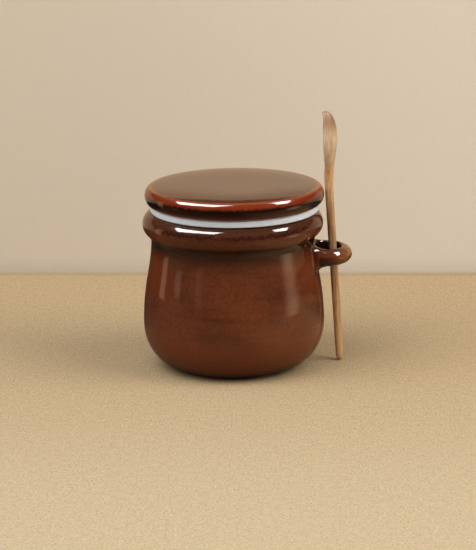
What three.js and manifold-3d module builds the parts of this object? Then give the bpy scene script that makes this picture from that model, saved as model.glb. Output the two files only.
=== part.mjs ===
// A small glazed stoneware storage jar with its lid, its seal ring and the spoon in its loop.
// Millimetres, +Z up. The origin is the middle of the jar's base and +X points to the loop.

import * as THREE from "three";
import { mergeVertices } from "three/addons/utils/BufferGeometryUtils.js";
import Module from "manifold-3d";

const wasm = await Module();
wasm.setup();

const { degToRad } = THREE.MathUtils;

// How finely curves are cut into flat faces
const ROUND_SEGMENTS = 56;
const PROFILE_STEPS = 5;
const LOOP_SEGMENTS = 36;
const FOOT_SEGMENTS = 14;
const WALL_SAMPLES = 200;

// Jar body: a flat base, a round belly low down and a wall that draws in to the neck
const BASE_RADIUS = 28;
const BELLY_RADIUS = 49.1;
const BELLY_HEIGHT = 23.8;
const BELLY_REACH = 24;
const NECK_RADIUS = 44.2;
const NECK_HEIGHT = 70.2;
const NECK_REACH = 16;

// Rolled rim: an oval roll, blended into the neck by the crease below it
const RIM_RADIUS = 49;
const RIM_HALF_WIDTH = 6.5;
const RIM_HALF_HEIGHT = 6.8;
const RIM_HEIGHT = 79.1;
const CREASE_ANGLE = degToRad(-50);
const MOUTH_FLOOR_HEIGHT = 77;

// Spoon loop: a level oval ring, partly sunk in the wall, with a flared foot on each arm.
// LOOP_RADIUS is the half width along Y of its highest line, from which it reaches out and in.
const LOOP_RADIUS = 10.3;
const LOOP_OUTER_REACH = 6.9;
const LOOP_INNER_REACH = 1.1;
const LOOP_HALF_HEIGHT = 4.5;
const LOOP_SQUASH = 0.82;
const LOOP_CENTRE_X = 50.75;
const LOOP_HEIGHT = 61.1;
const FOOT_BEARING = degToRad(13.2);
const FOOT_HALF_WIDTH = 3.3;
const FOOT_FLARE = 1.5;
const FOOT_SINK = 0.8;

// Lid: a disc with an oval edge, a low crown and a boss that carries the seal
const LID_RADIUS = 48.5;
const LID_EDGE_HALF_WIDTH = 3.4;
const LID_EDGE_HALF_HEIGHT = 4.7;
const LID_EDGE_HEIGHT = 94.5;
const LID_CROWN_ANGLE = degToRad(85);
const LID_TOP_HEIGHT = 100.2;
const LID_CROWN_REACH = 11;
const LID_CROWN_FLAT = 20;
const LID_SHIFT_X = 1;
const BOSS_RADIUS = 34.5;
const BOSS_HEIGHT = 80.5;

// Seal: a flat ring between the lid and the crest of the rim, with a rounded outer edge
const SEAL_RADIUS = 45.6;
const SEAL_EDGE_ROUND = 0.8;
const SEAL_BOSS_GAP = 0.3;
const SEAL_FACE_GAP = 0.1;

// Spoon: each station gives height along the spoon, half width, depth behind and depth in front
const SPOON_STATIONS = [
  [0, 2.0, 2.0, 2.0],
  [50, 2.1, 2.1, 2.1],
  [96, 2.2, 2.2, 2.2],
  [104, 2.9, 2.7, 2.2],
  [112, 5.4, 4.3, 2.3],
  [120, 8.0, 5.7, 2.3],
  [127, 8.8, 6.2, 2.1],
  [133, 7.5, 5.5, 1.7],
  [137, 4.4, 3.2, 1.1],
  [138.6, 0, 0, 0],
];
const SPOON_RINGS_PER_STATION = 2;
const SPOON_SEGMENTS = 18;
const SPOON_FOOT_X = 57.6;
const SPOON_FOOT_Y = 3.5;
const SPOON_FOOT_GAP = 0.3;
const SPOON_LEAN = degToRad(3.3);
const SPOON_TURN = degToRad(-4);
const BOWL_CENTRE_HEIGHT = 122.5;
const BOWL_CENTRE_X = -1.4;
const BOWL_DEPTH = 5;
const BOWL_HALF_WIDTH = 7;
const BOWL_HALF_LENGTH = 13;

// Materials
const GLAZE = { color: 0x6b3a20, roughness: 0.2 };
const SILICONE = { color: 0xd8dde0, roughness: 0.5 };
const WOOD = { color: 0xb98a55, roughness: 0.6 };

// Turns a geometry into a closed solid for joining and cutting.
function toSolid(geometry) {
  const bare = geometry.clone();
  bare.deleteAttribute("normal");
  bare.deleteAttribute("uv");
  const merged = mergeVertices(bare);
  return new wasm.Manifold(new wasm.Mesh({
    numProp: 3,
    vertProperties: new Float32Array(merged.attributes.position.array),
    triVerts: new Uint32Array(merged.index.array),
  }));
}

function toGeometry(solid) {
  const mesh = solid.getMesh();
  const geometry = new THREE.BufferGeometry();
  geometry.setAttribute("position", new THREE.BufferAttribute(mesh.vertProperties, mesh.numProp));
  geometry.setIndex(new THREE.BufferAttribute(mesh.triVerts, 1));
  geometry.computeVertexNormals();
  return geometry;
}

// Spins a path of (radius, height) points about the Z axis.
function turned(path, segments = ROUND_SEGMENTS) {
  const geometry = new THREE.LatheGeometry(path.getPoints(PROFILE_STEPS), segments);
  geometry.rotateX(Math.PI / 2);
  return geometry;
}

// The wall from belly to neck, as (radius, height).
const wallCurve = new THREE.CubicBezierCurve(
  new THREE.Vector2(BELLY_RADIUS, BELLY_HEIGHT),
  new THREE.Vector2(BELLY_RADIUS, BELLY_HEIGHT + BELLY_REACH),
  new THREE.Vector2(NECK_RADIUS, NECK_HEIGHT - NECK_REACH),
  new THREE.Vector2(NECK_RADIUS, NECK_HEIGHT));

// From the base's middle up the outside, over the rim and back to the axis inside the mouth.
function jarBody() {
  const rollCentre = RIM_RADIUS - RIM_HALF_WIDTH;
  const creaseX = rollCentre + RIM_HALF_WIDTH * Math.cos(CREASE_ANGLE);
  const creaseZ = RIM_HEIGHT + RIM_HALF_HEIGHT * Math.sin(CREASE_ANGLE);
  const creaseSlope = -(RIM_HALF_HEIGHT / RIM_HALF_WIDTH) / Math.tan(CREASE_ANGLE);
  const profile = new THREE.Path();
  profile.moveTo(0, 0);
  profile.lineTo(BASE_RADIUS, 0);
  profile.absellipse(BASE_RADIUS, BELLY_HEIGHT, BELLY_RADIUS - BASE_RADIUS, BELLY_HEIGHT,
    -Math.PI / 2, 0);
  profile.add(wallCurve);
  profile.currentPoint.copy(wallCurve.v3);
  profile.quadraticCurveTo(NECK_RADIUS, creaseZ - (creaseX - NECK_RADIUS) * creaseSlope,
    creaseX, creaseZ);
  profile.absellipse(rollCentre, RIM_HEIGHT, RIM_HALF_WIDTH, RIM_HALF_HEIGHT,
    CREASE_ANGLE, Math.PI);
  profile.lineTo(rollCentre - RIM_HALF_WIDTH, MOUTH_FLOOR_HEIGHT);
  profile.lineTo(0, MOUTH_FLOOR_HEIGHT);
  return toSolid(turned(profile));
}

function loopRing() {
  const section = new THREE.Path();
  section.moveTo(LOOP_RADIUS, -LOOP_HALF_HEIGHT);
  section.absellipse(LOOP_RADIUS, 0, LOOP_OUTER_REACH, LOOP_HALF_HEIGHT, -Math.PI / 2, Math.PI / 2);
  section.absellipse(LOOP_RADIUS, 0, LOOP_INNER_REACH, LOOP_HALF_HEIGHT, Math.PI / 2, Math.PI * 1.5);
  const ring = turned(section, LOOP_SEGMENTS);
  ring.scale(LOOP_SQUASH, 1, 1);
  ring.translate(LOOP_CENTRE_X, 0, LOOP_HEIGHT);
  return toSolid(ring);
}

// A collar whose side curves out to the wall where an arm of the loop meets it.
// side is -1 for the arm at -Y and 1 for the arm at +Y.
function loopFoot(side) {
  const wall = wallCurve.getPoints(WALL_SAMPLES).find((point) => point.y >= LOOP_HEIGHT).x;
  const collar = new THREE.Path();
  collar.moveTo(0, -FOOT_SINK);
  collar.lineTo(FOOT_HALF_WIDTH + FOOT_FLARE, -FOOT_SINK);
  collar.lineTo(FOOT_HALF_WIDTH + FOOT_FLARE, 0);
  collar.absarc(FOOT_HALF_WIDTH + FOOT_FLARE, FOOT_FLARE, FOOT_FLARE, -Math.PI / 2, Math.PI, true);
  collar.lineTo(0, FOOT_FLARE);
  const foot = turned(collar, FOOT_SEGMENTS);
  foot.rotateY(Math.PI / 2);
  foot.scale(1, 1, LOOP_HALF_HEIGHT / FOOT_HALF_WIDTH);
  foot.translate(wall, 0, LOOP_HEIGHT);
  foot.rotateZ(side * FOOT_BEARING);
  return toSolid(foot);
}

function jarGeometry() {
  const jar = jarBody().add(loopRing()).add(loopFoot(-1)).add(loopFoot(1));
  return toGeometry(jar);
}

function lidGeometry() {
  const edgeCentre = LID_RADIUS - LID_EDGE_HALF_WIDTH;
  const underside = LID_EDGE_HEIGHT - LID_EDGE_HALF_HEIGHT;
  const crownX = edgeCentre + LID_EDGE_HALF_WIDTH * Math.cos(LID_CROWN_ANGLE);
  const crownZ = LID_EDGE_HEIGHT + LID_EDGE_HALF_HEIGHT * Math.sin(LID_CROWN_ANGLE);
  const crownSlope = (LID_EDGE_HALF_HEIGHT / LID_EDGE_HALF_WIDTH) / Math.tan(LID_CROWN_ANGLE);
  const profile = new THREE.Path();
  profile.moveTo(0, BOSS_HEIGHT);
  profile.lineTo(BOSS_RADIUS, BOSS_HEIGHT);
  profile.lineTo(BOSS_RADIUS, underside);
  profile.lineTo(edgeCentre, underside);
  profile.absellipse(edgeCentre, LID_EDGE_HEIGHT, LID_EDGE_HALF_WIDTH, LID_EDGE_HALF_HEIGHT,
    -Math.PI / 2, LID_CROWN_ANGLE);
  profile.bezierCurveTo(crownX - LID_CROWN_REACH, crownZ + LID_CROWN_REACH * crownSlope,
    LID_CROWN_FLAT, LID_TOP_HEIGHT, 0, LID_TOP_HEIGHT);
  const lid = turned(profile);
  lid.translate(LID_SHIFT_X, 0, 0);
  return lid;
}

function sealGeometry() {
  const inner = BOSS_RADIUS + SEAL_BOSS_GAP;
  const bottom = RIM_HEIGHT + RIM_HALF_HEIGHT + SEAL_FACE_GAP;
  const top = LID_EDGE_HEIGHT - LID_EDGE_HALF_HEIGHT - SEAL_FACE_GAP;
  const roundCentre = SEAL_RADIUS - SEAL_EDGE_ROUND;
  const profile = new THREE.Path();
  profile.moveTo(inner, bottom);
  profile.lineTo(roundCentre, bottom);
  profile.absarc(roundCentre, bottom + SEAL_EDGE_ROUND, SEAL_EDGE_ROUND, -Math.PI / 2, 0);
  profile.absarc(roundCentre, top - SEAL_EDGE_ROUND, SEAL_EDGE_ROUND, 0, Math.PI / 2);
  profile.lineTo(inner, top);
  profile.lineTo(inner, bottom);
  const seal = turned(profile);
  seal.translate(LID_SHIFT_X, 0, 0);
  return seal;
}

// Spins the spoon's width outline, then presses each ring to its depths behind and in front.
function spoonBlank() {
  const heights = SPOON_STATIONS.map((station) => station[0]);
  const sizes = SPOON_STATIONS.flatMap((station) => station.slice(1));
  const sizeAt = new THREE.CubicInterpolant(heights, sizes, 3);
  const outline = [new THREE.Vector2(0, 0)];
  heights.slice(1).forEach((height, index) => {
    for (let ring = 0; ring < SPOON_RINGS_PER_STATION; ring++) {
      const along = THREE.MathUtils.lerp(heights[index], height, ring / SPOON_RINGS_PER_STATION);
      outline.push(new THREE.Vector2(sizeAt.evaluate(along)[0], along));
    }
  });
  outline.push(new THREE.Vector2(0, heights.at(-1)));
  const blank = new THREE.LatheGeometry(outline, SPOON_SEGMENTS);
  blank.rotateX(Math.PI / 2);
  const place = blank.attributes.position;
  for (let i = 0; i < place.count; i++) {
    const [halfWidth, behind, inFront] = sizeAt.evaluate(place.getZ(i));
    const depth = place.getX(i) > 0 ? behind : inFront;
    if (halfWidth > 0) place.setX(i, place.getX(i) * depth / halfWidth);
  }
  return toSolid(blank);
}

function spoonGeometry() {
  const hollow = new THREE.SphereGeometry(1, SPOON_SEGMENTS, SPOON_SEGMENTS / 2);
  hollow.scale(BOWL_DEPTH, BOWL_HALF_WIDTH, BOWL_HALF_LENGTH);
  hollow.translate(BOWL_CENTRE_X, 0, BOWL_CENTRE_HEIGHT);
  const spoon = toGeometry(spoonBlank().subtract(toSolid(hollow)));
  spoon.rotateZ(SPOON_TURN);
  spoon.rotateY(-SPOON_LEAN);
  spoon.computeBoundingBox();
  spoon.translate(SPOON_FOOT_X, SPOON_FOOT_Y, SPOON_FOOT_GAP - spoon.boundingBox.min.z);
  return spoon;
}

function namedMesh(name, geometry, looks) {
  const mesh = new THREE.Mesh(geometry, new THREE.MeshStandardMaterial(looks));
  mesh.name = name;
  return mesh;
}

const part = new THREE.Group();
part.name = "stoneware_storage_jar";
part.add(namedMesh("jar", jarGeometry(), GLAZE));
part.add(namedMesh("lid", lidGeometry(), GLAZE));
part.add(namedMesh("seal", sealGeometry(), SILICONE));
part.add(namedMesh("spoon", spoonGeometry(), WOOD));

export default part;
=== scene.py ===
"""Glazed stoneware storage jar with its lid, seal ring and wooden spoon, dressed for rendering."""
from math import atan2, cos, pi, radians, sin, tan

import bmesh
import bpy
from mathutils import Matrix, Quaternion, Vector


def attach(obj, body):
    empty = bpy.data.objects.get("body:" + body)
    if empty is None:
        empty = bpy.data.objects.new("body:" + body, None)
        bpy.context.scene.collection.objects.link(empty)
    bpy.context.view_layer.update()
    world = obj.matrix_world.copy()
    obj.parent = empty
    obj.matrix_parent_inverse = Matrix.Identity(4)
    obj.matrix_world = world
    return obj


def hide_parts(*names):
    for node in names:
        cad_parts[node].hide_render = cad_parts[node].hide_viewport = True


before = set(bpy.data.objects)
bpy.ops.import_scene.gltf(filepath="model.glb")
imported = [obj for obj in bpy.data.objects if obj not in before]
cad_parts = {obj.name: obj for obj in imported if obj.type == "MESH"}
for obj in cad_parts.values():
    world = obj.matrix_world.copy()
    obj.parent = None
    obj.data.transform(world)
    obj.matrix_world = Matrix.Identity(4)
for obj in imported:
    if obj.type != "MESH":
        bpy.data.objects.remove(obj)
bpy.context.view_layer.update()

MM = 0.001

# Jar body, in millimetres
BASE_RADIUS = 28
BASE_ROWS = (0, 10, 20, 25)
BELLY_RADIUS = 49.1
BELLY_HEIGHT = 23.8
BELLY_REACH = 24
BELLY_STEPS = 9
WALL_ROWS = 6
WALL_HALVINGS = 40
NECK_RADIUS = 44.2
NECK_HEIGHT = 70.2
NECK_REACH = 16
NECK_TURN_SHARES = (0, 0.35, 0.7)

# Rolled rim and mouth
RIM_RADIUS = 49
RIM_HALF_WIDTH = 6.5
RIM_HALF_HEIGHT = 6.8
RIM_HEIGHT = 79.1
RIM_STEPS = 14
CREASE_ANGLE = radians(-50)
MOUTH_FLOOR_HEIGHT = 77
MOUTH_EDGE = 0.5
MOUTH_ROW = 18

# Spoon loop
LOOP_RADIUS = 10.3
LOOP_OUTER_REACH = 6.45
LOOP_INNER_REACH = 1.1
LOOP_HALF_HEIGHT = 4.45
LOOP_SQUASH = 0.82
LOOP_CENTRE_X = 50.75
LOOP_HEIGHT = 61.1
LOOP_HALF_SWEEP = radians(112)
LOOP_STEPS = 11
LOOP_SIDES = 8
FOOT_TOP = 6.2
FOOT_MIDDLE = -0.6
FOOT_BOTTOM = -8.0
FOOT_COLUMN = 2
FOOT_CREASE = 0.2
FOOT_FLARE = 0.15
FOOT_DROP = 0.4
FOOT_FLARE_FROM = radians(80)

# Lid, with the boss beneath it
LID_RADIUS = 48.5
LID_EDGE_HALF_WIDTH = 3.4
LID_EDGE_HALF_HEIGHT = 4.7
LID_EDGE_HEIGHT = 94.5
LID_EDGE_STEPS = 14
LID_CROWN_ANGLE = radians(85)
LID_CROWN_REACH = 11
LID_CROWN_FLAT = 20
LID_CROWN_STEPS = 10
LID_TOP_HEIGHT = 100.2
LID_UNDER_ROW = 40
LID_SHIFT_X = 1
BOSS_RADIUS = 34.5
BOSS_HEIGHT = 80.5
BOSS_ROW = 17
BOSS_EDGE = 0.8
BOSS_CORNER = 0.4

# Seal ring
SEAL_RADIUS = 45.6
SEAL_EDGE_ROUND = 0.8
SEAL_EDGE_STEPS = 4
SEAL_INNER_EDGE = 0.3
SEAL_ROW = 40
SEAL_BOSS_GAP = 0.3
SEAL_FACE_GAP = 0.1

# Spoon: height along it, half width, depth behind, depth in front
SPOON_STATIONS = (
    (0, 2.0, 2.0, 2.0),
    (3, 2.0, 2.0, 2.0),
    (30, 2.1, 2.1, 2.1),
    (60, 2.1, 2.1, 2.1),
    (90, 2.2, 2.2, 2.2),
    (98, 2.3, 2.3, 2.2),
    (105, 3.4, 2.9, 2.1),
    (111, 6.0, 4.2, 1.9),
    (117, 8.3, 5.4, 1.8),
    (122.5, 8.6, 6.1, 1.7),
    (128, 7.4, 6.2, 1.6),
    (132.5, 5.6, 5.5, 1.4),
    (136, 3.5, 4.0, 1.2),
    (138.2, 1.5, 1.8, 1.0),
)
SPOON_SIDES = 16
SPOON_FOOT_X = 57.6
SPOON_FOOT_Y = 3.5
SPOON_FOOT_GAP = 0.3
SPOON_LEAN = radians(3.3)
SPOON_TURN = radians(-4)
HANDLE_HALF_WIDTH = 2.4
HANDLE_SQUARENESS = 2.6
FRONT_CORNER = sin(2 * pi / SPOON_SIDES)
FRONT_FACING = -0.8
BOWL_FLAT_OVER = 3
BOWL_CENTRE_HEIGHT = 122.5
BOWL_LOWEST = 106
BOWL_HIGHEST = 137
BOWL_DEPTH = 5
BOWL_SIDE_RISE = 0.8
BOWL_LIP = 1.2

# Fineness of the meshes
COLUMNS = 56
ROUNDING_LEVELS = 2
POINT_GAP = 0.01
MERGE = 1e-6


def arc(centre, half_sizes, start, end, steps):
    """Points along an oval arc, from one angle to another."""
    angles = [start + (end - start) * i / steps for i in range(steps + 1)]
    return [(centre[0] + half_sizes[0] * cos(a), centre[1] + half_sizes[1] * sin(a)) for a in angles]


def bezier(p0, p1, p2, p3, t):
    """The point at a share t along a curve with two ends and two handles."""
    weights = ((1 - t) ** 3, 3 * (1 - t) ** 2 * t, 3 * (1 - t) * t ** 2, t ** 3)
    return tuple(sum(w * p[i] for w, p in zip(weights, (p0, p1, p2, p3))) for i in (0, 1))


def spaced(points):
    """The same profile without points that repeat the one before."""
    kept = points[:1]
    for point in points[1:]:
        if abs(point[0] - kept[-1][0]) + abs(point[1] - kept[-1][1]) > POINT_GAP:
            kept.append(point)
    return kept


def turned(profile):
    """Spins a (radius, height) profile in millimetres about the Z axis."""
    shape = bmesh.new()
    points = [shape.verts.new((r * MM, 0, z * MM)) for r, z in spaced(profile)]
    lines = [shape.edges.new(pair) for pair in zip(points, points[1:])]
    bmesh.ops.spin(shape, geom=points + lines, cent=(0, 0, 0), axis=(0, 0, 1), angle=2 * pi,
                   steps=COLUMNS, use_merge=True, use_duplicate=False)
    bmesh.ops.remove_doubles(shape, verts=shape.verts, dist=MERGE)
    return shape


def cage_swell(sides):
    """How much wider a ring's cage is than the ring, because subdivision draws a cage of few sides in."""
    return 1 / (2 / 3 + cos(2 * pi / sides) / 3)


def edges_of(ring):
    """The edges of a ring that isn't yet joined to anything."""
    return list({edge for vert in ring for edge in vert.link_edges})


def piece(name, shape, finish, node):
    """Puts a finished bmesh in the scene, in place of its CAD node."""
    bmesh.ops.recalc_face_normals(shape, faces=shape.faces)
    mesh = bpy.data.meshes.new(name)
    shape.to_mesh(mesh)
    shape.free()
    for face in mesh.polygons:
        face.use_smooth = True
    thing = bpy.data.objects.new(name, mesh)
    bpy.context.scene.collection.objects.link(thing)
    rounding = thing.modifiers.new("rounding", "SUBSURF")
    rounding.levels = ROUNDING_LEVELS
    rounding.render_levels = ROUNDING_LEVELS
    mesh.materials.append(finish)
    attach(thing, "root")
    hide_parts(node)


def wall_point(t):
    """A point on the wall, from the belly at 0 to the neck at 1."""
    return bezier((BELLY_RADIUS, BELLY_HEIGHT), (BELLY_RADIUS, BELLY_HEIGHT + BELLY_REACH),
                  (NECK_RADIUS, NECK_HEIGHT - NECK_REACH), (NECK_RADIUS, NECK_HEIGHT), t)


def wall_at(height):
    """The wall's radius at a height between belly and neck, by halving."""
    low, high = 0.0, 1.0
    for _ in range(WALL_HALVINGS):
        middle = (low + high) / 2
        if wall_point(middle)[1] < height:
            low = middle
        else:
            high = middle
    return wall_point(low)[0]


def jar_profile():
    """The jar from the middle of its base, up the wall and over the rim to the middle of its mouth."""
    roll = RIM_RADIUS - RIM_HALF_WIDTH
    crease = (roll + RIM_HALF_WIDTH * cos(CREASE_ANGLE), RIM_HEIGHT + RIM_HALF_HEIGHT * sin(CREASE_ANGLE))
    slope = -(RIM_HALF_HEIGHT / RIM_HALF_WIDTH) / tan(CREASE_ANGLE)
    turn = (NECK_RADIUS, crease[1] - (crease[0] - NECK_RADIUS) * slope)
    neck = (NECK_RADIUS, NECK_HEIGHT)
    foot_rows = [LOOP_HEIGHT + rise for rise in (FOOT_BOTTOM, FOOT_MIDDLE, FOOT_TOP)]
    below_foot = foot_rows[0] - BELLY_HEIGHT
    wall_rows = [BELLY_HEIGHT + below_foot * k / WALL_ROWS for k in range(1, WALL_ROWS)]
    profile = [(row, 0) for row in BASE_ROWS]
    profile += arc((BASE_RADIUS, BELLY_HEIGHT), (BELLY_RADIUS - BASE_RADIUS, BELLY_HEIGHT),
                   -pi / 2, 0, BELLY_STEPS)
    profile += [(wall_at(z), z) for z in wall_rows + foot_rows]
    for t in NECK_TURN_SHARES:
        profile.append(tuple((1 - t) ** 2 * neck[i] + 2 * t * (1 - t) * turn[i]
                             + t ** 2 * crease[i] for i in (0, 1)))
    profile += arc((roll, RIM_HEIGHT), (RIM_HALF_WIDTH, RIM_HALF_HEIGHT), CREASE_ANGLE, pi, RIM_STEPS)
    inner = roll - RIM_HALF_WIDTH
    profile += [(inner, MOUTH_FLOOR_HEIGHT + MOUTH_EDGE), (inner - MOUTH_EDGE, MOUTH_FLOOR_HEIGHT)]
    return profile + [(MOUTH_ROW, MOUTH_FLOOR_HEIGHT), (0, MOUTH_FLOOR_HEIGHT)]


def open_feet(shape):
    """Opens the wall where the loop's two feet join it, and returns the edges of both openings."""
    step = 2 * pi / COLUMNS
    low, high = LOOP_HEIGHT + FOOT_BOTTOM, LOOP_HEIGHT + FOOT_TOP
    foot_faces = []
    for face in shape.faces:
        middle = face.calc_center_median()
        column = abs(Vector((middle.x, middle.y)).angle_signed(Vector((1, 0)))) / step
        in_rows = low < middle.z / MM < high
        if in_rows and FOOT_COLUMN - 1 < column < FOOT_COLUMN + 1:
            foot_faces.append(face)
    bmesh.ops.delete(shape, geom=foot_faces, context="FACES")
    openings = [edge for edge in shape.edges if edge.is_boundary]
    near = [edge for edge in openings if edge.verts[0].co.y < 0]
    far = [edge for edge in openings if edge.verts[0].co.y > 0]
    return near, far


def jar_shape():
    """The turned jar, opened at the loop's two feet and joined there to the loop's bent rod."""
    shape = turned(jar_profile())
    valley = shape.edges.layers.float.new("crease_edge")
    body = set(shape.verts)
    near, far = open_feet(shape)
    for edge in near + far:
        edge[valley] = FOOT_CREASE
    swell = cage_swell(LOOP_SIDES)
    start = -LOOP_HALF_SWEEP
    outward = Vector((cos(start), sin(start), 0))
    along = Vector((-sin(start), cos(start), 0))
    centre = Vector((LOOP_CENTRE_X, 0, LOOP_HEIGHT)) * MM
    place = Matrix.Translation(centre + outward * LOOP_RADIUS * MM)
    axes = Matrix((outward, (0, 0, 1), along)).transposed().to_4x4()
    size = Matrix.Diagonal((MM, LOOP_HALF_HEIGHT * swell * MM, 1, 1))
    circle = bmesh.ops.create_circle(shape, segments=LOOP_SIDES, radius=1, matrix=place @ axes @ size)
    section = circle["verts"]
    first = edges_of(section)
    rod = bmesh.ops.spin(shape, geom=section + first, cent=centre, axis=(0, 0, 1),
                         angle=2 * LOOP_HALF_SWEEP, steps=LOOP_STEPS, use_merge=False, use_duplicate=False)
    last = [item for item in rod["geom_last"] if isinstance(item, bmesh.types.BMEdge)]
    for vert in [vert for vert in shape.verts if vert not in body]:
        angle = abs(atan2(vert.co.y, vert.co.x - centre.x))
        flare = max(0, (angle - FOOT_FLARE_FROM) / (LOOP_HALF_SWEEP - FOOT_FLARE_FROM)) ** 2
        vert.co.z += flare * (FOOT_FLARE * (vert.co.z - centre.z) - FOOT_DROP * MM)
        out = Vector((vert.co.x - centre.x, vert.co.y, 0))
        beyond = out.length - LOOP_RADIUS * MM
        reach = LOOP_OUTER_REACH if beyond > 0 else LOOP_INNER_REACH
        vert.co += out.normalized() * beyond * (reach * swell - 1)
        vert.co.x = centre.x + (vert.co.x - centre.x) * LOOP_SQUASH
    bmesh.ops.bridge_loops(shape, edges=near + first)
    bmesh.ops.bridge_loops(shape, edges=far + last)
    return shape


def shifted(shape):
    """Moves the lid or the seal a little towards the loop, as it sits on the jar."""
    bmesh.ops.translate(shape, verts=shape.verts, vec=(LID_SHIFT_X * MM, 0, 0))
    return shape


def lid_shape():
    """The turned lid, from the middle of its boss, out to its edge and over to the middle of its top."""
    edge = LID_RADIUS - LID_EDGE_HALF_WIDTH
    under = LID_EDGE_HEIGHT - LID_EDGE_HALF_HEIGHT
    crown_r = edge + LID_EDGE_HALF_WIDTH * cos(LID_CROWN_ANGLE)
    crown_z = LID_EDGE_HEIGHT + LID_EDGE_HALF_HEIGHT * sin(LID_CROWN_ANGLE)
    slope = (LID_EDGE_HALF_HEIGHT / LID_EDGE_HALF_WIDTH) / tan(LID_CROWN_ANGLE)
    crown = ((crown_r, crown_z), (crown_r - LID_CROWN_REACH, crown_z + LID_CROWN_REACH * slope),
             (LID_CROWN_FLAT, LID_TOP_HEIGHT), (0, LID_TOP_HEIGHT))
    profile = [(0, BOSS_HEIGHT), (BOSS_ROW, BOSS_HEIGHT)]
    profile += [(BOSS_RADIUS - BOSS_EDGE, BOSS_HEIGHT), (BOSS_RADIUS, BOSS_HEIGHT + BOSS_EDGE)]
    profile += [(BOSS_RADIUS, under - BOSS_CORNER), (BOSS_RADIUS + BOSS_CORNER, under)]
    profile.append((LID_UNDER_ROW, under))
    profile += arc((edge, LID_EDGE_HEIGHT), (LID_EDGE_HALF_WIDTH, LID_EDGE_HALF_HEIGHT),
                   -pi / 2, LID_CROWN_ANGLE, LID_EDGE_STEPS)
    profile += [bezier(*crown, k / LID_CROWN_STEPS) for k in range(1, LID_CROWN_STEPS + 1)]
    return shifted(turned(profile))


def seal_shape():
    """The turned seal ring, held between lid and rim and around the boss."""
    inner = BOSS_RADIUS + SEAL_BOSS_GAP
    bottom = RIM_HEIGHT + RIM_HALF_HEIGHT + SEAL_FACE_GAP
    top = LID_EDGE_HEIGHT - LID_EDGE_HALF_HEIGHT - SEAL_FACE_GAP
    turn = SEAL_RADIUS - SEAL_EDGE_ROUND
    rounded = (SEAL_EDGE_ROUND, SEAL_EDGE_ROUND)
    profile = [(inner, bottom), (inner + SEAL_INNER_EDGE, bottom), (SEAL_ROW, bottom)]
    profile += arc((turn, bottom + SEAL_EDGE_ROUND), rounded, -pi / 2, 0, SEAL_EDGE_STEPS)
    profile += arc((turn, top - SEAL_EDGE_ROUND), rounded, 0, pi / 2, SEAL_EDGE_STEPS)
    profile += [(SEAL_ROW, top), (inner + SEAL_INNER_EDGE, top), (inner, top)]
    profile += [(inner, (top + bottom) / 2), (inner, bottom)]
    return shifted(turned(profile))


def spoon_ring(shape, height, half_width, behind, in_front):
    """One ring across the spoon: nearly square on the handle, flat in front at the bowl."""
    swell = cage_swell(SPOON_SIDES)
    place = Matrix.Translation((0, 0, height * MM))
    ring = bmesh.ops.create_circle(shape, segments=SPOON_SIDES, radius=1, matrix=place)["verts"]
    flat = min(1, max(0, (half_width - HANDLE_HALF_WIDTH) / BOWL_FLAT_OVER))
    for vert in ring:
        powers = abs(vert.co.x) ** HANDLE_SQUARENESS + abs(vert.co.y) ** HANDLE_SQUARENESS
        rounder = flat + (1 - flat) * powers ** (-1 / HANDLE_SQUARENESS)
        vert.co.y *= rounder
        across = vert.co.x * rounder
        if across < 0:
            across = (1 - flat) * across + flat * max(-1, across / FRONT_CORNER)
        depth = behind if across > 0 else in_front
        vert.co.x = across * depth * swell * MM
        vert.co.y *= half_width * swell * MM
    return ring


def spoon_shape():
    """Rings along the spoon, bridged, closed at both ends and hollowed on the front of the bowl."""
    shape = bmesh.new()
    rings = [spoon_ring(shape, *station) for station in SPOON_STATIONS]
    loops = [edges_of(ring) for ring in rings]
    for lower, upper in zip(loops, loops[1:]):
        bmesh.ops.bridge_loops(shape, edges=lower + upper)
    bmesh.ops.holes_fill(shape, edges=loops[0] + loops[-1])
    bmesh.ops.recalc_face_normals(shape, faces=shape.faces)
    front = [face for face in shape.faces if face.normal.x < FRONT_FACING and len(face.verts) == 4
             and BOWL_LOWEST < face.calc_center_median().z / MM < BOWL_HIGHEST]
    bmesh.ops.inset_region(shape, faces=front, thickness=BOWL_LIP * MM, depth=0, use_even_offset=True)
    floor = {vert for face in front for vert in face.verts}
    half_length = max(abs(vert.co.z / MM - BOWL_CENTRE_HEIGHT) for vert in floor)
    half_width = max(abs(vert.co.y) for vert in floor)
    for vert in floor:
        along = (vert.co.z / MM - BOWL_CENTRE_HEIGHT) / half_length
        across = vert.co.y / half_width
        vert.co.x += BOWL_DEPTH * MM * max(0.0, 1 - along ** 2) * (1 - BOWL_SIDE_RISE * across ** 2)
    turn = Matrix.Rotation(-SPOON_LEAN, 4, "Y") @ Matrix.Rotation(SPOON_TURN, 4, "Z")
    bmesh.ops.transform(shape, matrix=turn, verts=shape.verts)
    lift = SPOON_FOOT_GAP * MM - min(vert.co.z for vert in shape.verts)
    bmesh.ops.translate(shape, verts=shape.verts, vec=(SPOON_FOOT_X * MM, SPOON_FOOT_Y * MM, lift))
    return shape


# Detail, roughness and levels of the noise that makes a line ragged
RAGGED_GRAIN = (3, 0.6)
RAGGED_LEVELS = (0.25, 0.75)


def new_finish(name):
    """A new material with its node tree and its main shader."""
    material = bpy.data.materials.new(name)
    material.use_nodes = True
    tree = material.node_tree
    return material, tree, tree.nodes["Principled BSDF"]


def add(tree, kind, inputs, **settings):
    """Adds a node, with its settings, and its inputs by name or number set or linked."""
    new = tree.nodes.new(kind)
    for key, value in settings.items():
        setattr(new, key, value)
    for key, value in inputs.items():
        if isinstance(value, bpy.types.NodeSocket):
            tree.links.new(value, new.inputs[key])
        else:
            new.inputs[key].default_value = value
    return new


def object_place(tree):
    return tree.nodes.new("ShaderNodeTexCoord").outputs["Object"]


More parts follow.
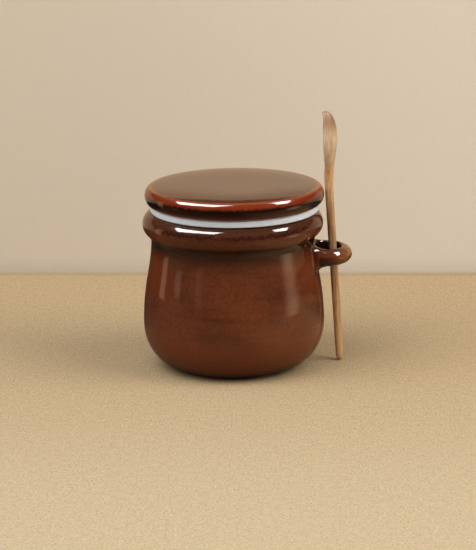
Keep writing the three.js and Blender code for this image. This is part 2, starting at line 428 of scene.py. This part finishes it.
def stretched(tree, place, scale, turn):
    """The place scaled along its axes and turned, for a noise that is drawn out in one direction."""
    mapping = add(tree, "ShaderNodeMapping", {"Vector": place, "Scale": scale, "Rotation": turn})
    return mapping.outputs["Vector"]


def noise(tree, place, scale, detail=2.0, roughness=0.5):
    inputs = {"Vector": place, "Scale": scale, "Detail": detail, "Roughness": roughness}
    return add(tree, "ShaderNodeTexNoise", inputs).outputs["Fac"]


def between(tree, value, low, high, to_low=0.0, to_high=1.0):
    """A smooth step from to_low to to_high as a value goes from low to high."""
    inputs = {"Value": value, "From Min": low, "From Max": high, "To Min": to_low, "To Max": to_high}
    return add(tree, "ShaderNodeMapRange", inputs, interpolation_type="SMOOTHSTEP").outputs["Result"]


def product(tree, a, b):
    return add(tree, "ShaderNodeMath", {0: a, 1: b}, operation="MULTIPLY").outputs[0]


def band(tree, value, start, end):
    """1 from a start to an end of a value, with a smooth step over each of these pairs."""
    return product(tree, between(tree, value, *start), between(tree, value, *end))


def blend(tree, share, colour_a, colour_b, way="MIX"):
    new = add(tree, "ShaderNodeMix", {0: share, 6: colour_a, 7: colour_b}, data_type="RGBA", blend_type=way)
    return new.outputs[2]


def tinted(tree, colour, tone, mask, share):
    """The colour blended with a tone, by a share of a mask."""
    return blend(tree, product(tree, mask, share), colour, tone)


def ragged(tree, value, place, scale, reach):
    """The same value with its level lines made uneven by up to reach to either side."""
    wander = noise(tree, place, scale, *RAGGED_GRAIN)
    wander = between(tree, wander, *RAGGED_LEVELS, -reach, reach)
    return add(tree, "ShaderNodeMath", {0: value, 1: wander}, operation="ADD").outputs[0]


def relief(tree, height, strength, distance):
    inputs = {"Height": height, "Strength": strength, "Distance": distance}
    return add(tree, "ShaderNodeBump", inputs).outputs["Normal"]


def height_and_radius(tree, place, centre_x=0, squash=1):
    """Height above the floor and distance from an upright line at centre_x, with X drawn out by 1/squash."""
    inputs = {"Vector": place, "Location": (-centre_x * MM / squash, 0, 0), "Scale": (1 / squash, 1, 1)}
    centred = add(tree, "ShaderNodeMapping", inputs)
    parts = add(tree, "ShaderNodeSeparateXYZ", {"Vector": centred.outputs["Vector"]})
    flat = add(tree, "ShaderNodeCombineXYZ", {"X": parts.outputs["X"], "Y": parts.outputs["Y"]})
    length = add(tree, "ShaderNodeVectorMath", {0: flat.outputs["Vector"]}, operation="LENGTH")
    return parts.outputs["Z"], length.outputs["Value"]


# Glaze tones
GLAZE_BROWN = (0.091, 0.0240, 0.0084, 1)
GLAZE_RED = (0.107, 0.0272, 0.0089, 1)
GLAZE_SIDE = (0.125, 0.0215, 0.0040, 1)
# Painted light: a brighter tone that lights up the lower body
GLAZE_LOW_PAINTED_LIGHT = (0.150, 0.0410, 0.0150, 1)
GLAZE_DARK = (0.014, 0.0052, 0.0024, 1)
# Painted deep shade, used in the loop's hole and on the lid's side
GLAZE_DEEP_SHADE = (0.003, 0.0010, 0.0005, 1)
# Painted dark reflection: the tone of the ragged dark band on the rim
GLAZE_RIM_DARK_REFLECTION = (0.018, 0.0025, 0.0015, 1)
GLAZE_AMBER = (0.165, 0.057, 0.0125, 1)
GLAZE_EDGE = (0.125, 0.0165, 0.0024, 1)
GLAZE_THIN = (0.26, 0.085, 0.025, 1)
BARE_CLAY = (0.30, 0.20, 0.12, 1)

# Noises below are given as scale, detail and roughness; the last or the last two may be left out
GLAZE_CLOUDS = (38, 3)
GLAZE_CLOUD_LEVELS = (0.3, 0.7)

# Dark marks in the glaze: noise, stretch, turn, the levels between which it shows, and its share
GLAZE_MARKS = {
    "soft runs": ((260, 3), (1, 1, 0.35), (0, 0, 0), (0.5, 0.8), 0.22),
    "turning rings": ((420, 2), (0.12, 0.12, 1), (0, 0, 0), (0.45, 0.75), 0.2),
    "broad stains": ((48, 3, 0.55), (1, 1, 1.6), (0.5, 0, 0.3), (0.4, 0.75), 0.3),
    "mottle": ((620, 3, 0.6), (1, 1, 1), (0, 0, 0), (0.4, 0.7), 0.3),
    "fine specks": ((1300, 1), (1, 1, 1), (0, 0, 0), (0.66, 0.74), 0.3),
}

# Gloss of the glaze
GLAZE_IOR = 1.42
GLOSS_PATCHES = (90, 2)
GLOSS_LEVELS = (0.3, 0.7)
GLOSS_ROUGHNESS = (0.05, 0.10)
GLAZE_RIPPLE = (140, 2)
GLAZE_RIPPLE_RELIEF = (0.12, 0.0004)

# Where the jar's glaze changes, in metres: each pair is where a change begins and where it is complete
SIDES_ACROSS = (0.026, 0.042)
SIDES_UP = (0.036, 0.054)
SIDES_SHARE = 0.55
# Painted light on the lower body
LOW_LIGHT_START = (0.002, 0.009)
LOW_LIGHT_END = (0.032, 0.014)
LOW_LIGHT_SHARE = 0.4
# Painted shade in the crease under the rim
CREASE_SHADE_START = (0.060, 0.0715)
CREASE_SHADE_END = (0.0755, 0.0725)
CREASE_SHADE_SHARE = 0.92
RIM_UP = (0.074, 0.083)
RIM_SHARES = (0.12, 0.58)
# Painted dark reflection on the rim: a ragged band standing in for the rippled glaze's broken mirror image
RIM_REFLECTION_WANDER = (330, 0.0012)
RIM_REFLECTION_START = (0.0800, 0.0806)
RIM_REFLECTION_END = (0.0822, 0.0814)
RIM_REFLECTION_SHARE = 0.7
# Painted shade towards the base
BASE_SHADE_DOWN = (0.012, 0.001)
BASE_SHADE_SHARE = 0.4
CLAY_DOWN = (0.0004, 0.0001)

# The same on and beside the spoon loop: outwards from the jar's axis, or from the loop's own middle
LOOP_OUTWARD = (0.0478, 0.0495)
LOOP_UP = (0.0535, 0.0555)
# Painted shade beneath the loop
UNDER_LOOP_SHADE_DOWN = (0.0632, 0.0605)
UNDER_LOOP_SHADE_SHARE = 0.9
AMBER_OUTWARD = (0.054, 0.0645)
AMBER_UP = (0.0575, 0.0610)
AMBER_FORWARD = (0.011, 0.003)
AMBER_SHARE = 0.85
# Painted shade in the valleys beside the loop's feet
VALLEY_FROM_LOOP = (0.0150, 0.0166)
VALLEY_TO_WALL = (0.0186, 0.0170)
VALLEY_INWARD = (0.0482, 0.0466)
VALLEY_START = (0.0500, 0.0545)
VALLEY_END = (0.0690, 0.0655)
VALLEY_SHADE_SHARE = 0.75
# Painted shade in the loop's hole
HOLE_START = (0.052, 0.057)
HOLE_END = (0.070, 0.066)
HOLE_INWARD = (0.0102, 0.0094)
HOLE_SHADE_SHARE = 0.85

# The same on the lid
LID_DARK_SHARE = 0.38
EDGE_WANDER = (500, 0.0003)
EDGE_OUTWARD = (0.0430, 0.0462)
EDGE_SHARE = 0.9
CORNER_START = (0.0436, 0.0450)
CORNER_END = (0.0468, 0.0456)
CORNER_SHARE = 0.4
# Painted shade on the lid's side
SIDE_WANDER = (520, 0.0005)
SIDE_START = (0.0902, 0.0929)
SIDE_END = (0.0970, 0.0953)
LID_SIDE_SHADE_SHARE = 0.97
COAT_INWARD = (0.0465, 0.044)
COAT_SHARE = 0.15
COAT_ROUGHNESS = 0.12

# Milky silicone
SILICONE_DEEP = (0.465, 0.525, 0.585, 1)
SILICONE_PALE = (0.55, 0.605, 0.67, 1)
SILICONE_CLOUDS = (120, 2)
SILICONE_ROUGHNESS = 0.38
SILICONE_MILKINESS = 0.7
SILICONE_DEPTH = (0.004, 0.004, 0.004)
SILICONE_GRAIN = (900, 1)
SILICONE_GRAIN_RELIEF = (0.1, 0.0002)

# Spoon wood
WOOD_DARK = (0.23, 0.110, 0.040, 1)
WOOD_LIGHT = (0.45, 0.268, 0.128, 1)
WOOD_PALE = (0.58, 0.35, 0.165, 1)
WOOD_GREY = (0.50, 0.42, 0.31, 1)
WOOD_TIP = (0.150, 0.062, 0.014, 1)
WOOD_BLOTCH = (0.22, 0.105, 0.038, 1)
WOOD_PORE = (0.16, 0.075, 0.03, 1)
BANDS = (700, 4, 0.6)
BANDS_STRETCH = (1, 1, 0.06)
BANDS_LEVELS = (0.32, 0.66)
PORES = (2600, 2)
PORES_STRETCH = (1, 1, 0.03)
PORES_LEVELS = (0.58, 0.7)
PORES_SHARE = 0.45
PORES_RELIEF = (0.25, 0.0003)
BLOTCHES = (420, 3, 0.6)
BLOTCHES_STRETCH = (1, 1, 0.3)
BLOTCHES_LEVELS = (0.50, 0.70)
BLOTCHES_SHARE = 0.45
WOOD_ROUGH_LEVELS = (0.3, 0.7)
WOOD_ROUGHNESS = (0.58, 0.46)
WOOD_SHEEN = 0.3

# Where the wood's tone changes along the spoon, in metres
SPOON_NECK_START = (0.086, 0.100)
SPOON_NECK_END = (0.115, 0.106)
SPOON_NECK_SHARE = 0.42
SPOON_FOOT_DOWN = (0.050, 0.010)
SPOON_FOOT_SHARE = 0.32
SPOON_HANDLE_START = (0.050, 0.060)
SPOON_HANDLE_END = (0.092, 0.080)
SPOON_HANDLE_SHARE = 0.28
SPOON_HEAD_UP = (0.104, 0.116)
SPOON_HEAD_SHARE = 0.5
SPOON_TIP_UP = (0.124, 0.134)
SPOON_TIP_SHARE = 0.88


def glaze_base(tree, place):
    """Brown glaze with broad clouds and dark marks."""
    clouds = noise(tree, place, *GLAZE_CLOUDS)
    colour = blend(tree, between(tree, clouds, *GLAZE_CLOUD_LEVELS), GLAZE_BROWN, GLAZE_RED)
    for grain, stretch, turn, levels, share in GLAZE_MARKS.values():
        mark = noise(tree, stretched(tree, place, stretch, turn), *grain)
        colour = blend(tree, between(tree, mark, *levels, 0, share), colour, GLAZE_DARK)
    return colour


def glaze_surface(tree, shader, place, colour):
    """Gives the shader a glaze's colour, its gloss and a faint ripple."""
    tree.links.new(colour, shader.inputs["Base Color"])
    patches = noise(tree, place, *GLOSS_PATCHES)
    tree.links.new(between(tree, patches, *GLOSS_LEVELS, *GLOSS_ROUGHNESS), shader.inputs["Roughness"])
    shader.inputs["IOR"].default_value = GLAZE_IOR
    ripple = noise(tree, place, *GLAZE_RIPPLE)
    tree.links.new(relief(tree, ripple, *GLAZE_RIPPLE_RELIEF), shader.inputs["Normal"])


def loop_tones(tree, place, colour, parts, radius):
    """The glaze on the spoon loop: painted shade beneath it, in its hole and beside its feet, and amber at
    its end.
    """
    height = parts["Z"]
    on_loop = product(tree, between(tree, radius, *LOOP_OUTWARD), between(tree, height, *LOOP_UP))
    # painted shade on the loop's underside
    under = product(tree, on_loop, between(tree, height, *UNDER_LOOP_SHADE_DOWN))
    colour = tinted(tree, colour, GLAZE_DARK, under, UNDER_LOOP_SHADE_SHARE)
    amber = product(tree, between(tree, radius, *AMBER_OUTWARD), between(tree, height, *AMBER_UP))
    amber = product(tree, amber, between(tree, parts["Y"], *AMBER_FORWARD))
    colour = tinted(tree, colour, GLAZE_AMBER, amber, AMBER_SHARE)
    _, from_middle = height_and_radius(tree, place, LOOP_CENTRE_X, LOOP_SQUASH)
    # painted shade in the valleys where the feet meet the wall
    beside_foot = band(tree, from_middle, VALLEY_FROM_LOOP, VALLEY_TO_WALL)
    near_wall = product(tree, beside_foot, between(tree, radius, *VALLEY_INWARD))
    valley = product(tree, near_wall, band(tree, height, VALLEY_START, VALLEY_END))
    colour = tinted(tree, colour, GLAZE_DARK, valley, VALLEY_SHADE_SHARE)
    # painted shade in the loop's hole
    hole = product(tree, band(tree, height, HOLE_START, HOLE_END), between(tree, from_middle, *HOLE_INWARD))
    return tinted(tree, colour, GLAZE_DEEP_SHADE, hole, HOLE_SHADE_SHARE)


def jar_glaze():
    """Brown glaze, redder at the sides, with painted light on the lower body, painted shade in the crease and
    at the base, and a ragged band of painted dark reflection on the rim.
    """
    material, tree, shader = new_finish("jar_glaze")
    place = object_place(tree)
    height, radius = height_and_radius(tree, place)
    parts = add(tree, "ShaderNodeSeparateXYZ", {"Vector": place}).outputs
    colour = glaze_base(tree, place)
    sideways = add(tree, "ShaderNodeMath", {0: parts["X"]}, operation="ABSOLUTE").outputs[0]
    sides = product(tree, between(tree, sideways, *SIDES_ACROSS), between(tree, height, *SIDES_UP))
    colour = tinted(tree, colour, GLAZE_SIDE, sides, SIDES_SHARE)
    # painted light: the lower body made brighter
    colour = tinted(tree, colour, GLAZE_LOW_PAINTED_LIGHT, band(tree, height, LOW_LIGHT_START, LOW_LIGHT_END), LOW_LIGHT_SHARE)
    # painted shade in the crease under the rim
    colour = tinted(tree, colour, GLAZE_DARK, band(tree, height, CREASE_SHADE_START, CREASE_SHADE_END), CREASE_SHADE_SHARE)
    colour = blend(tree, between(tree, height, *RIM_UP, *RIM_SHARES), colour, GLAZE_DARK)
    # painted dark reflection: a ragged dark band along the rim
    uneven = ragged(tree, height, place, *RIM_REFLECTION_WANDER)
    colour = tinted(tree, colour, GLAZE_RIM_DARK_REFLECTION, band(tree, uneven, RIM_REFLECTION_START, RIM_REFLECTION_END), RIM_REFLECTION_SHARE)
    # painted shade towards the base
    colour = tinted(tree, colour, GLAZE_DARK, between(tree, height, *BASE_SHADE_DOWN), BASE_SHADE_SHARE)
    colour = loop_tones(tree, place, colour, parts, radius)
    colour = blend(tree, between(tree, height, *CLAY_DOWN), colour, BARE_CLAY)
    glaze_surface(tree, shader, place, colour)
    return material


def lid_glaze():
    """Dark brown glaze that breaks to red-orange at the edge, with painted shade on the side."""
    material, tree, shader = new_finish("lid_glaze")
    place = object_place(tree)
    height, radius = height_and_radius(tree, place, LID_SHIFT_X)
    colour = blend(tree, LID_DARK_SHARE, glaze_base(tree, place), GLAZE_DARK)
    uneven_radius = ragged(tree, radius, place, *EDGE_WANDER)
    colour = tinted(tree, colour, GLAZE_EDGE, between(tree, uneven_radius, *EDGE_OUTWARD), EDGE_SHARE)
    corner = band(tree, uneven_radius, CORNER_START, CORNER_END)
    colour = tinted(tree, colour, GLAZE_THIN, corner, CORNER_SHARE)
    # painted shade on the lid's side
    uneven_height = ragged(tree, height, place, *SIDE_WANDER)
    side = product(tree, between(tree, uneven_height, *SIDE_END), between(tree, height, *SIDE_START))
    colour = tinted(tree, colour, GLAZE_DEEP_SHADE, side, LID_SIDE_SHADE_SHARE)
    glaze_surface(tree, shader, place, colour)
    tree.links.new(between(tree, radius, *COAT_INWARD, 0, COAT_SHARE), shader.inputs["Coat Weight"])
    shader.inputs["Coat Roughness"].default_value = COAT_ROUGHNESS
    return material


def silicone():
    """Milky silicone that lets some light in."""
    material, tree, shader = new_finish("milky_silicone")
    place = object_place(tree)
    clouds = noise(tree, place, *SILICONE_CLOUDS)
    tree.links.new(blend(tree, clouds, SILICONE_DEEP, SILICONE_PALE), shader.inputs["Base Color"])
    shader.inputs["Roughness"].default_value = SILICONE_ROUGHNESS
    shader.inputs["Subsurface Weight"].default_value = SILICONE_MILKINESS
    shader.inputs["Subsurface Radius"].default_value = SILICONE_DEPTH
    shader.inputs["Subsurface Scale"].default_value = 1.0
    grain = noise(tree, place, *SILICONE_GRAIN)
    tree.links.new(relief(tree, grain, *SILICONE_GRAIN_RELIEF), shader.inputs["Normal"])
    return material


def spoon_wood():
    """Wood with bands and pores along the spoon, pale at the neck, grey on the head and brown at the tip."""
    material, tree, shader = new_finish("spoon_wood")
    place = object_place(tree)
    lean = (0, SPOON_LEAN, 0)
    bands = noise(tree, stretched(tree, place, BANDS_STRETCH, lean), *BANDS)
    pores = noise(tree, stretched(tree, place, PORES_STRETCH, lean), *PORES)
    blotches = noise(tree, stretched(tree, place, BLOTCHES_STRETCH, lean), *BLOTCHES)
    height = add(tree, "ShaderNodeSeparateXYZ", {"Vector": place}).outputs["Z"]
    colour = blend(tree, between(tree, bands, *BANDS_LEVELS), WOOD_DARK, WOOD_LIGHT)
    neck = band(tree, height, SPOON_NECK_START, SPOON_NECK_END)
    colour = tinted(tree, colour, WOOD_PALE, neck, SPOON_NECK_SHARE)
    colour = tinted(tree, colour, WOOD_PALE, between(tree, height, *SPOON_FOOT_DOWN), SPOON_FOOT_SHARE)
    handle = band(tree, height, SPOON_HANDLE_START, SPOON_HANDLE_END)
    colour = tinted(tree, colour, WOOD_BLOTCH, handle, SPOON_HANDLE_SHARE)
    colour = tinted(tree, colour, WOOD_GREY, between(tree, height, *SPOON_HEAD_UP), SPOON_HEAD_SHARE)
    colour = tinted(tree, colour, WOOD_TIP, between(tree, height, *SPOON_TIP_UP), SPOON_TIP_SHARE)
    colour = tinted(tree, colour, WOOD_BLOTCH, between(tree, blotches, *BLOTCHES_LEVELS), BLOTCHES_SHARE)
    colour = tinted(tree, colour, WOOD_PORE, between(tree, pores, *PORES_LEVELS), PORES_SHARE)
    tree.links.new(colour, shader.inputs["Base Color"])
    tree.links.new(between(tree, bands, *WOOD_ROUGH_LEVELS, *WOOD_ROUGHNESS), shader.inputs["Roughness"])
    shader.inputs["Specular IOR Level"].default_value = WOOD_SHEEN
    tree.links.new(relief(tree, pores, *PORES_RELIEF), shader.inputs["Normal"])
    return material


# Camera, as in the photograph
VIEW_ELEVATION = radians(14.25)
VIEW_DISTANCE = 1.5
VIEW_ROLL = radians(0.73)
VIEW_AIM = Vector((2.44, 0, 49.4)) * MM
PIXELS_PER_MM = 1.8455
PHOTO_LONG_SIDE = 550

camera_data = bpy.data.cameras.new("photo_camera")
camera_data.lens = PIXELS_PER_MM * VIEW_DISTANCE / MM * camera_data.sensor_width / PHOTO_LONG_SIDE
camera = bpy.data.objects.new("photo_camera", camera_data)
bpy.context.scene.collection.objects.link(camera)
towards_viewer = Vector((0, -cos(VIEW_ELEVATION), sin(VIEW_ELEVATION)))
camera.location = VIEW_AIM + towards_viewer * VIEW_DISTANCE
camera.rotation_mode = "QUATERNION"
camera.rotation_quaternion = ((-towards_viewer).to_track_quat("-Z", "Y")
                              @ Quaternion((0, 0, 1), -VIEW_ROLL))
bpy.context.scene.camera = camera

# Floor and backdrop of plain paper, in metres; a grain is the fibres' range of tone and the felt's half range
# Painted light: the floor's tone is lighter towards the front
FLOOR_FAR = (0.310, 0.225, 0.124, 1)
FLOOR_NEAR_LIT = (0.357, 0.278, 0.170, 1)
FLOOR_PAINTED_LIGHT_REACH = (-0.28, 0.03)
FLOOR_GRAIN = (0.70, 1.20, 0.045)
SHEET_HALF_WIDTH = 4
# Painted light: the backdrop's tone is lighter towards the right
WALL_LEFT = (0.460, 0.397, 0.315, 1)
WALL_RIGHT_LIT = (0.520, 0.457, 0.379, 1)
WALL_PAINTED_LIGHT_REACH = (-0.15, 0.15)
WALL_GRAIN = (0.97, 1.01, 0.006)
WALL_DISTANCE = 0.1945
WALL_HEIGHT = 0.186
WALL_TURN = radians(-3.0)
WALL_FOOT = (0.430, 0.328, 0.203, 1)
WALL_FOOT_DOWN = (0.0030, 0)
WALL_SHADE = (0, 0, 0, 1)
WALL_SHADE_DOWN = (0.013, 0.001)
WALL_SHADE_SHARE = 0.13
PAPER_FIBRES = (900, 4, 0.7)
PAPER_FELT = (240, 2)
PAPER_LEVELS = (0.3, 0.7)
PAPER_ROUGHNESS = 0.95
PAPER_SHEEN = 0.1

# What the glaze mirrors of the paper: its tint, and where its share changes and from what to what
MIRRORED_TINT = (1.08, 0.98, 0.85, 1)
FLOOR_FAR_RIGHT = (0.15, 0.40)
FLOOR_FAR_RIGHT_SHARES = (0.06, 0.60)
FLOOR_BEHIND = (0.10, 0.03)
FLOOR_IN_FRONT = (-0.35, -0.1)
FLOOR_IN_FRONT_SHARES = (0.3, 1)
FLOOR_ON_RIGHT = (0.0, 0.1)
FLOOR_ON_RIGHT_SHARES = (0.35, 1.1)
WALL_UP = (0.018, 0.036)
WALL_UP_SHARES = (0.06, 1)
WALL_TOP = (0.148, 0.166)
WALL_TOP_SHARES = (1, 0.78)


def floor_in_glaze(tree, parts):
    """The share of the floor that shows in the glaze: most on the right, little behind and far in front."""
    far_right = between(tree, parts["X"], *FLOOR_FAR_RIGHT, *FLOOR_FAR_RIGHT_SHARES)
    behind = between(tree, parts["Y"], *FLOOR_BEHIND, far_right, 1)
    in_front = between(tree, parts["Y"], *FLOOR_IN_FRONT, *FLOOR_IN_FRONT_SHARES)
    on_right = between(tree, parts["X"], *FLOOR_ON_RIGHT, *FLOOR_ON_RIGHT_SHARES)
    return product(tree, product(tree, behind, in_front), on_right)


def wall_in_glaze(tree, parts):
    """The share of the wall that shows in the glaze: little at its foot, so the belly's sides stay dark."""
    low = between(tree, parts["Z"], *WALL_UP, *WALL_UP_SHARES)
    return product(tree, low, between(tree, parts["Z"], *WALL_TOP, *WALL_TOP_SHARES))


def paper(name, tones, axis, reach, grain, in_glaze, one_sided):
    """Matt paper with a fine grain, its tone shifting along one axis as painted light; if one-sided, clear
    from behind.
    """
    material, tree, shader = new_finish(name)
    place = object_place(tree)
    parts = add(tree, "ShaderNodeSeparateXYZ", {"Vector": place}).outputs
    tone = blend(tree, between(tree, parts[axis], *reach), *tones)
    if one_sided:
        tone = blend(tree, between(tree, parts["Z"], *WALL_FOOT_DOWN), tone, WALL_FOOT)
        tone = tinted(tree, tone, WALL_SHADE, between(tree, parts["Z"], *WALL_SHADE_DOWN), WALL_SHADE_SHARE)
    darkest, lightest, felt_range = grain
    fibre = between(tree, noise(tree, place, *PAPER_FIBRES), *PAPER_LEVELS, darkest, lightest)
    felt = between(tree, noise(tree, place, *PAPER_FELT), *PAPER_LEVELS, 1 - felt_range, 1 + felt_range)
    in_gloss = tree.nodes.new("ShaderNodeLightPath").outputs["Is Glossy Ray"]
    tone = blend(tree, in_gloss, tone, MIRRORED_TINT, "MULTIPLY")
    seen = add(tree, "ShaderNodeMix", {0: in_gloss, 2: 1.0, 3: in_glaze(tree, parts)}, data_type="FLOAT")
    fibre = product(tree, product(tree, fibre, felt), seen.outputs[0])
    shade = add(tree, "ShaderNodeVectorMath", {0: tone, "Scale": fibre}, operation="SCALE")
    tree.links.new(shade.outputs["Vector"], shader.inputs["Base Color"])
    shader.inputs["Roughness"].default_value = PAPER_ROUGHNESS
    shader.inputs["Specular IOR Level"].default_value = PAPER_SHEEN
    if one_sided:
        clear = tree.nodes.new("ShaderNodeBsdfTransparent")
        behind = tree.nodes.new("ShaderNodeNewGeometry").outputs["Backfacing"]
        pick = add(tree, "ShaderNodeMixShader", {0: behind, 1: shader.outputs[0], 2: clear.outputs[0]})
        tree.links.new(pick.outputs[0], tree.nodes["Material Output"].inputs["Surface"])
    return material


def sheet_of_paper(name, material, matrix):
    """Puts a flat sheet on the stage, two units wide and long before its matrix is applied."""
    shape = bmesh.new()
    bmesh.ops.create_grid(shape, x_segments=1, y_segments=1, size=1, matrix=matrix)
    mesh = bpy.data.meshes.new(name)
    shape.to_mesh(mesh)
    shape.free()
    mesh.materials.append(material)
    thing = bpy.data.objects.new(name, mesh)
    bpy.context.scene.collection.objects.link(thing)


floor_paper = paper("floor_paper", (FLOOR_NEAR_LIT, FLOOR_FAR), "Y", FLOOR_PAINTED_LIGHT_REACH, FLOOR_GRAIN,
                    floor_in_glaze, one_sided=False)
sheet_of_paper("floor", floor_paper, Matrix.Diagonal((SHEET_HALF_WIDTH, SHEET_HALF_WIDTH, 1, 1)))
upright = (Matrix.Translation((0, WALL_DISTANCE, WALL_HEIGHT / 2)) @ Matrix.Rotation(WALL_TURN, 4, "Z")
           @ Matrix.Rotation(pi / 2, 4, "X"))
wall_paper = paper("wall_paper", (WALL_LEFT, WALL_RIGHT_LIT), "X", WALL_PAINTED_LIGHT_REACH, WALL_GRAIN,
                   wall_in_glaze, one_sided=True)
sheet_of_paper("backdrop", wall_paper, upright @ Matrix.Diagonal((SHEET_HALF_WIDTH, WALL_HEIGHT / 2, 1, 1)))

# Lamps light the surfaces: name, direction, distance, width, height, watts, colour
LAMPS = (
    ("left_top_lamp", (-0.42, -0.28, 0.86), 2.0, 1.6, 1.2, 28, (0.97, 0.98, 1)),
    ("right_top_lamp", (0.60, -0.22, 0.77), 2.0, 1.2, 1.2, 19, (1, 0.97, 0.93)),
    ("front_lamp", (-0.1, -0.65, 0.75), 2.0, 1.6, 1.0, 9, (1, 0.98, 0.95)),
    ("left_lamp", (-0.75, -0.45, 0.55), 2.0, 1.4, 1.0, 16, (0.98, 0.98, 0.97)),
    ("right_lamp", (0.8, -0.38, 0.50), 2.0, 1.4, 1.0, 28, (1, 0.94, 0.86)),
)

# Cards show only as glints in the glaze: the same values, then the share of faded edge and the upward side
CARDS = (
    ("left_top_card", (-0.43, -0.02, 0.89), 1.5, 1.1, 0.95, 110, (1, 0.98, 0.97), 0, (0.51, 0.81, 0.29)),
    ("right_top_card", (0.57, 0.09, 0.82), 1.5, 0.38, 1.0, 42, (1, 0.98, 0.97), 0, (-0.51, 0.81, 0.29)),
    ("right_side_card", (0.966, -0.25, -0.09), 0.32, 0.17, 0.20, 0.22, (1, 0.66, 0.40), 0.45),
    ("left_window_wide", (-0.98, 0.19, 0.12), 0.32, 0.06, 0.16, 0.038, (1, 0.62, 0.40)),
    ("left_window_short", (-0.97, -0.265, -0.012), 0.33, 0.055, 0.024, 0.0038, (1, 0.75, 0.55)),
    ("left_window_faint", (-0.69, -0.72, 0.02), 0.34, 0.05, 0.045, 0.0026, (1, 0.75, 0.55)),
)
LIGHT_AIM = Vector((0, 0, 0.06))


def softbox(name, towards, distance, width, height, power, colour, fade=0, up=(0, 0, 1)):
    """A rectangular light that looks at the jar from a direction, its edges faded over a share of it."""
    data = bpy.data.lights.new(name, "AREA")
    data.shape = "RECTANGLE"
    data.size = width
    data.size_y = height
    data.energy = power
    data.color = colour
    if fade:
        data.use_nodes = True
        tree = data.node_tree
        across = tree.nodes.new("ShaderNodeNewGeometry").outputs["Parametric"]
        parts = add(tree, "ShaderNodeSeparateXYZ", {"Vector": across}).outputs
        edges = [band(tree, part, (0, fade), (1, 1 - fade)) for part in (parts["X"], parts["Y"])]
        tree.links.new(product(tree, *edges), tree.nodes["Emission"].inputs["Strength"])
    light = bpy.data.objects.new(name, data)
    bpy.context.scene.collection.objects.link(light)
    direction = Vector(towards).normalized()
    side = Vector(up).cross(direction).normalized()
    light.location = LIGHT_AIM + direction * distance
    light.rotation_mode = "QUATERNION"
    light.rotation_quaternion = Matrix((side, direction.cross(side), direction)).transposed().to_quaternion()
    return light


for lamp in LAMPS:
    softbox(*lamp).visible_glossy = False
for card in CARDS:
    softbox(*card).visible_diffuse = False

# The room around, dimmer where the glaze mirrors it, and most so near the horizon
ROOM_TONE = (0.340, 0.322, 0.315, 1)
ROOM_UP = (0.35, 0.75)
ROOM_UP_SHARES = (0.2, 0.65)

world = bpy.data.worlds.new("studio")
world.use_nodes = True
sky = world.node_tree
room = sky.nodes["Background"]
room.inputs["Color"].default_value = ROOM_TONE
direction = sky.nodes.new("ShaderNodeTexCoord").outputs["Generated"]
upwards = add(sky, "ShaderNodeSeparateXYZ", {"Vector": direction}).outputs["Z"]
mirrored = between(sky, upwards, *ROOM_UP, *ROOM_UP_SHARES)
in_gloss = sky.nodes.new("ShaderNodeLightPath").outputs["Is Glossy Ray"]
strength = add(sky, "ShaderNodeMix", {0: in_gloss, 2: 1.0, 3: mirrored}, data_type="FLOAT")
sky.links.new(strength.outputs[0], room.inputs["Strength"])
bpy.context.scene.world = world
bpy.context.scene.view_settings.view_transform = "Standard"

piece("glazed_jar", jar_shape(), jar_glaze(), "jar")
piece("glazed_lid", lid_shape(), lid_glaze(), "lid")
piece("seal_ring", seal_shape(), silicone(), "seal")
piece("wooden_spoon", spoon_shape(), spoon_wood(), "spoon")
